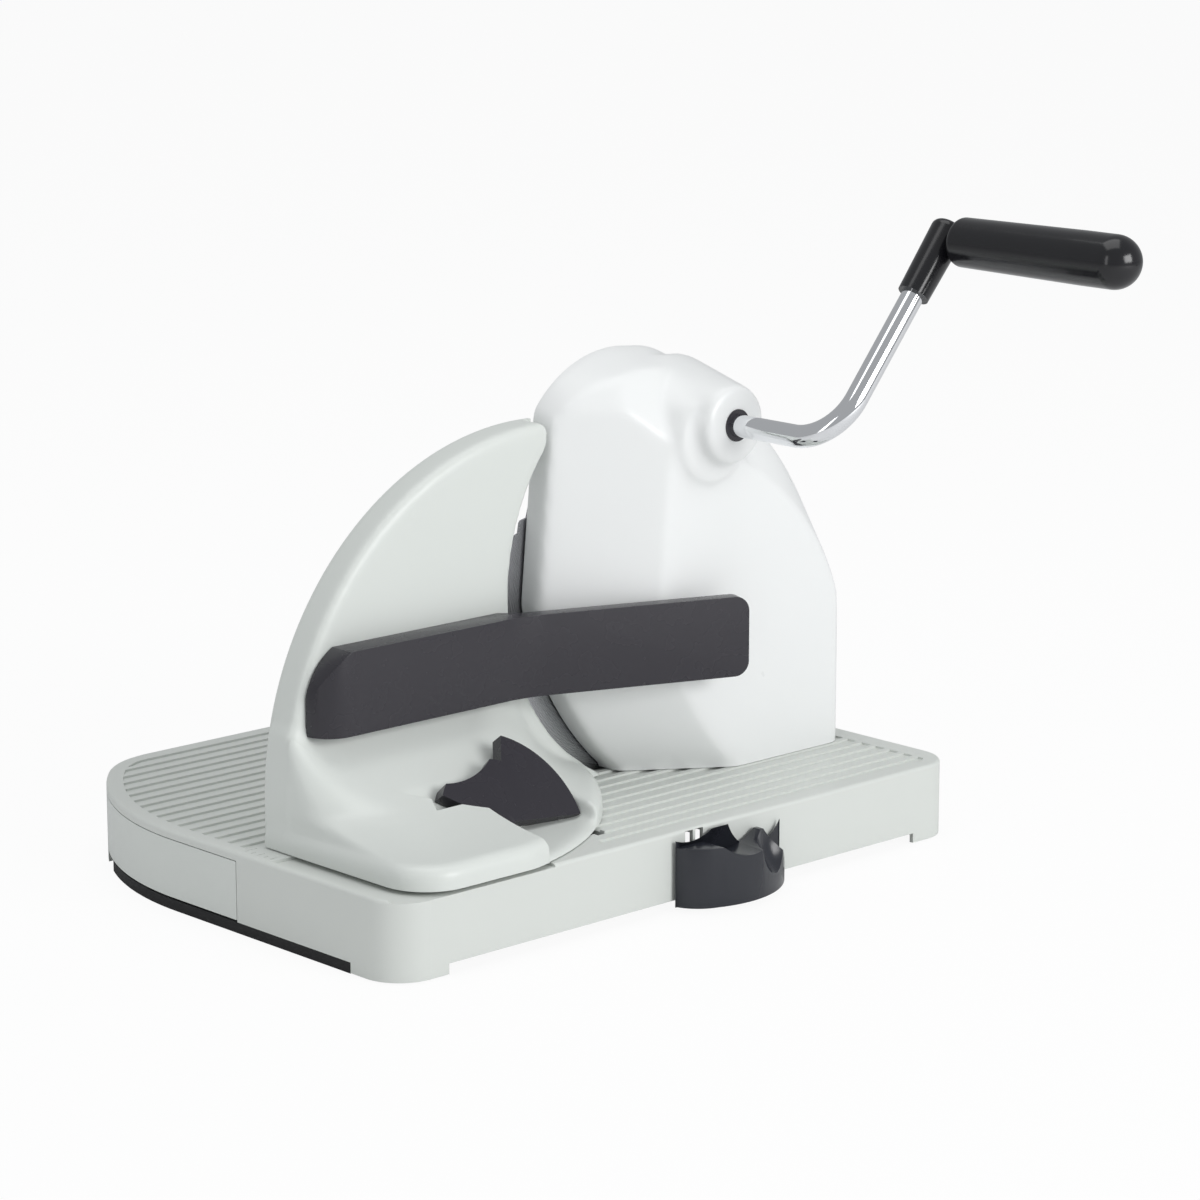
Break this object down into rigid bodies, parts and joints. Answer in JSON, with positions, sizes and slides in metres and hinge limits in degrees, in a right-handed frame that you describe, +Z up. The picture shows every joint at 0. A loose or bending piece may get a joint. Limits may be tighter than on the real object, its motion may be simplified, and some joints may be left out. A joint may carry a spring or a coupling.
{
  "type": "hand cranked bread slicer",
  "caption": "Hand cranked bread slicer with a round toothed blade, geared crank, sliding stop plate set by a thickness dial, crumb drawer and suction foot.",
  "frame": {"origin": "centre of the suction cup's flat underside, on the table", "axes": "+X along the long side of the base towards the user's right, -Y towards the user and the crank, +Z up"},
  "size_m": [0.4, 0.4531, 0.3441],
  "materials": {
    "white_shell": "satin white, slightly warm",
    "deck": "light grey-white",
    "charcoal": "satin charcoal",
    "rubber": "matt black",
    "steel": "machined",
    "blade_steel": "ground",
    "chrome": "bright",
    "nylon": "natural nylon",
    "brass": "plain bearing"
  },
  "bodies": {
    "base": {"base_shell": "deck", "sole_strip": "rubber", "front_left_pad": "rubber", "front_right_pad": "rubber", "rear_right_pad": "rubber", "rear_left_pad": "rubber", "suction_bell": "charcoal", "bell_screws": "steel", "lever_pivot_pin": "steel", "suction_cup": "rubber", "idler_axle": "steel", "idler_clip": "steel", "gear_housing": "white_shell", "crank_bush": "charcoal", "housing_back_plate": "white_shell", "back_plate_screws": "steel", "blade_bush": "brass", "housing_base_screws": "steel", "dial_channel": "nylon", "channel_screw": "steel", "left_guide_rod": "chrome", "right_guide_rod": "chrome"},
    "drawer": {"storage_drawer": "white_shell"},
    "lever": {"suction_lever": "charcoal"},
    "stem": {"suction_stem": "steel", "stem_pin": "steel"},
    "plate": {"stop_plate_shell": "white_shell", "stop_plate_face": "white_shell", "guard_bar": "charcoal", "guard_bar_screws": "steel", "plate_carrier": "nylon", "carrier_screws": "steel"},
    "dial": {"thickness_dial": "charcoal", "dial_shaft": "steel", "dial_arm": "steel"},
    "blade_assembly": {"blade": "blade_steel", "blade_spindle": "steel", "blade_pinion": "nylon", "blade_cap": "charcoal"},
    "idler": {"idler_gear": "nylon"},
    "crank": {"crank_rod": "chrome", "crank_gear": "nylon", "crank_gear_collar": "steel", "crank_gear_pin": "steel", "crank_sleeve": "charcoal", "grip_pin": "steel"},
    "grip": {"grip_body": "charcoal", "grip_end_cap": "charcoal"}
  },
  "joints": [
    {"name": "crank_turn", "type": "hinge", "parent": "base", "child": "crank", "pos_m": [0.084, -0.035, 0.233], "axis": [0, 1, 0], "continuous": true},
    {"name": "idler_spin", "type": "hinge", "parent": "base", "child": "idler", "pos_m": [0.08161, 0.017, 0.17505], "axis": [0, 1, 0], "continuous": true},
    {"name": "blade_spin", "type": "hinge", "parent": "base", "child": "blade_assembly", "pos_m": [0.064, 0.027, 0.124], "axis": [0, 1, 0], "continuous": true},
    {"name": "grip_spin", "type": "hinge", "parent": "crank", "child": "grip", "pos_m": [0.16551, -0.115, 0.33013], "axis": [0, 1, 0], "continuous": true},
    {"name": "plate_slide", "type": "slide", "parent": "base", "child": "plate", "axis": [0, -1, 0], "range_m": [0, 0.02]},
    {"name": "dial_turn", "type": "hinge", "parent": "plate", "child": "dial", "pos_m": [-0.089, -0.043, 0.052], "axis": [0, -0.7986, 0.6018], "range_deg": [0, 45]},
    {"name": "drawer_slide", "type": "slide", "parent": "base", "child": "drawer", "axis": [-1, 0, 0], "range_m": [0, 0.1]},
    {"name": "lever_swing", "type": "hinge", "parent": "base", "child": "lever", "pos_m": [0, 0.018, 0.03], "axis": [1, 0, 0], "range_deg": [-6, 0]},
    {"name": "stem_lift", "type": "slide", "parent": "base", "child": "stem", "axis": [0, 0, 1], "range_m": [0, 0.002], "deforming": ["suction_cup"]}
  ],
  "couplings": [
    {"joint": "idler_spin", "follows": "crank_turn", "ratio": -0.52632},
    {"joint": "blade_spin", "follows": "crank_turn", "ratio": 1.25},
    {"joint": "dial_turn", "follows": "plate_slide", "rad_per_m": 39.27},
    {"joint": "stem_lift", "follows": "lever_swing", "m_per_rad": -0.018}
  ]
}
